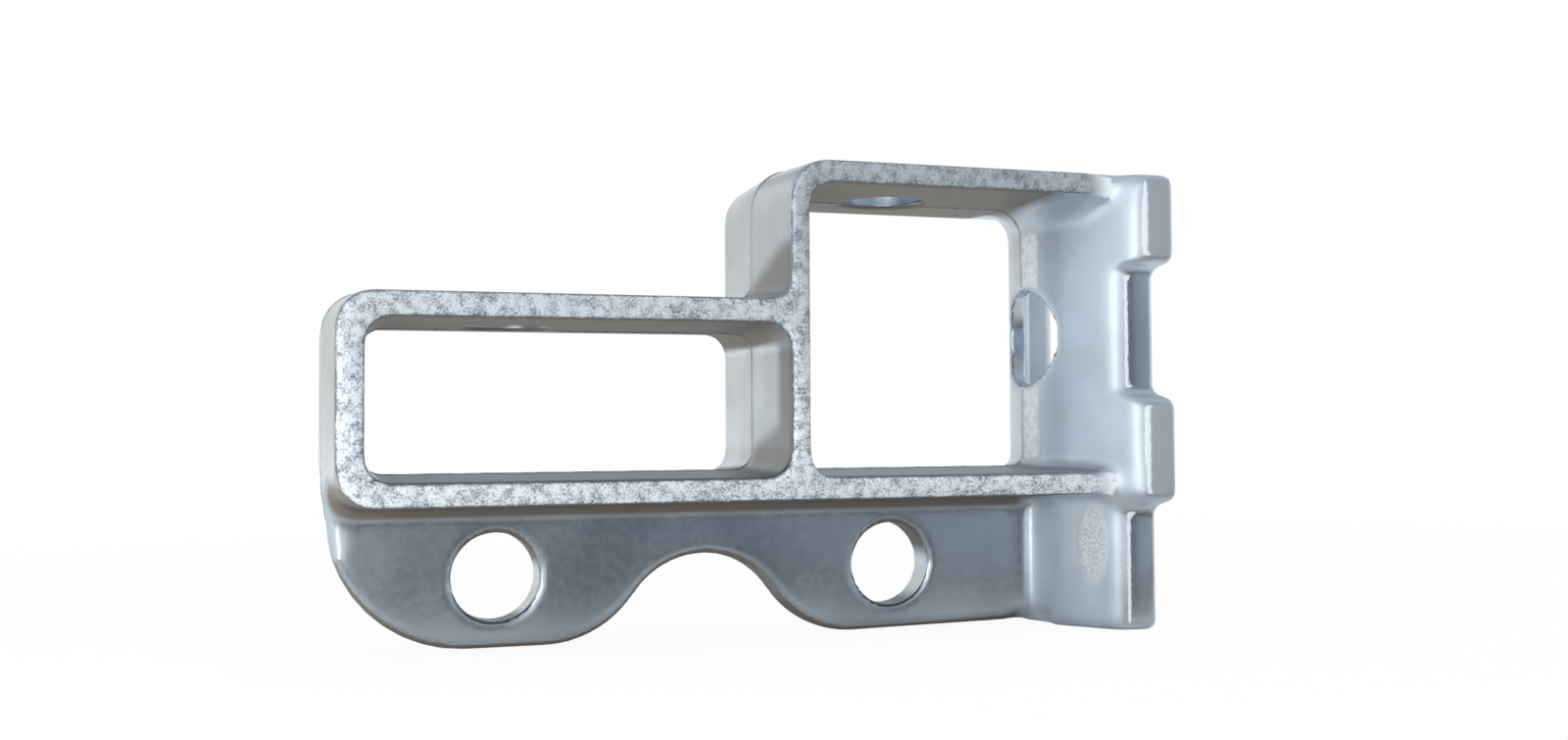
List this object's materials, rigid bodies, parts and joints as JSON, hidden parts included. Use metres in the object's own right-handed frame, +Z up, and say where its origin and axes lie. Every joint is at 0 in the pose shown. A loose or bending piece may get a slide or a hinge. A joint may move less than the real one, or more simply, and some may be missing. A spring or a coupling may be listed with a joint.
{
  "type": "pole bracket",
  "caption": "Cast pole bracket: a two-cell open box frame with a vee seat that straps or bolts to a pole, and a flat foot flange with bolt holes below.",
  "frame": {"origin": "centre of the pole bolt hole, at the back of the seat's thin wall where it faces the pole", "axes": "+X to the pole, +Z up along the pole, the arm reaches out along -X, the mould parts in the plane y = 0"},
  "size_m": [0.1776, 0.0576, 0.1006],
  "materials": {
    "cast_metal": "bare casting, satin, with rough mottled rims"
  },
  "bodies": {
    "root": {"bracket_casting": "cast_metal"}
  },
  "joints": []
}
